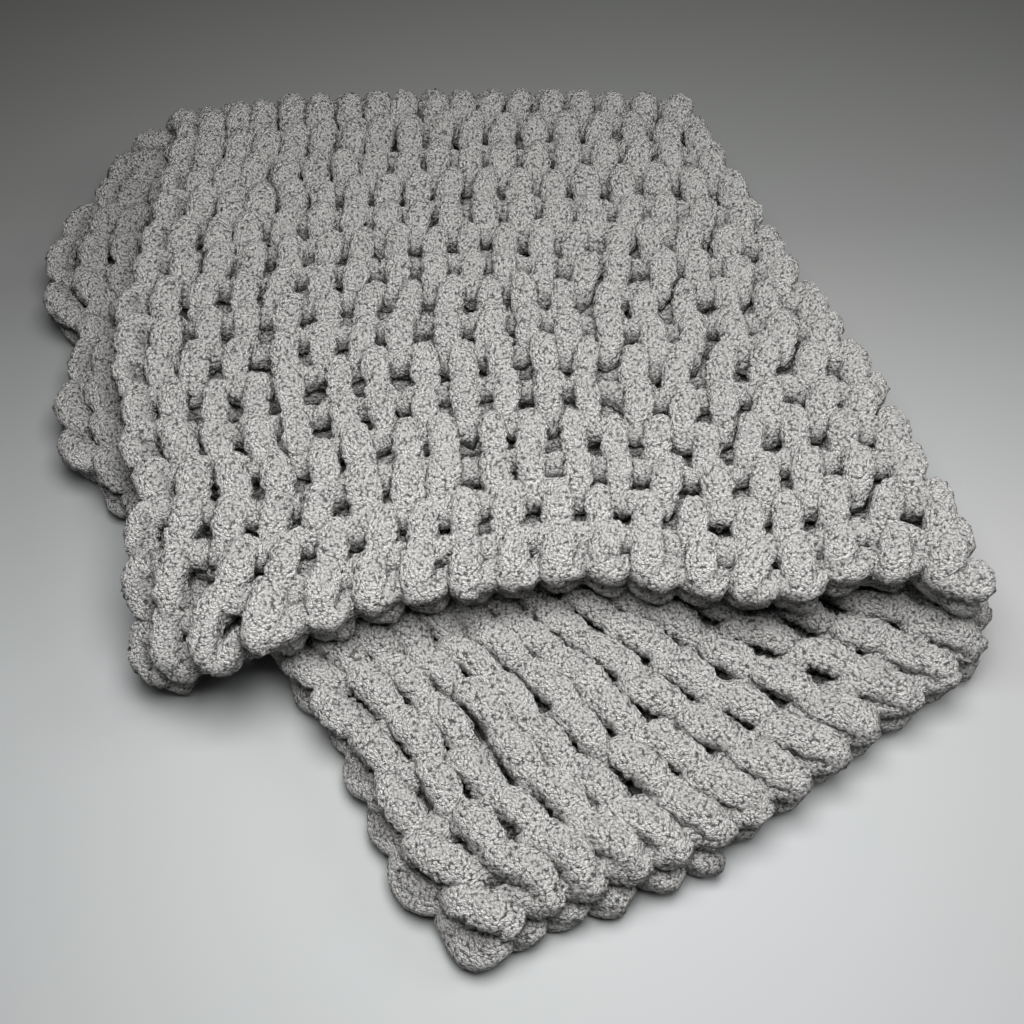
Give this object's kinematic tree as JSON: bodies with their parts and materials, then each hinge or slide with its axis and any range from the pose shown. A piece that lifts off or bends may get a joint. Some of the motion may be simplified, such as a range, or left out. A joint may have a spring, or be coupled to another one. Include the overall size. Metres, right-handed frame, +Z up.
{
  "type": "blanket",
  "caption": "Chunky knit throw of thick grey chenille yarn, folded in half lengthwise and again across, with its under end swung out as a flap",
  "frame": {"origin": "centre of the folded throw's bounding box, at the surface it lies on", "axes": "+Z up from that surface; +Y away from the flap, toward the back fold; +X to the right as seen from the front"},
  "size_m": [0.8256, 0.8576, 0.1299],
  "materials": {
    "chenille_yarn": "matte"
  },
  "bodies": {
    "root": {"blanket": "chenille_yarn"}
  },
  "joints": []
}
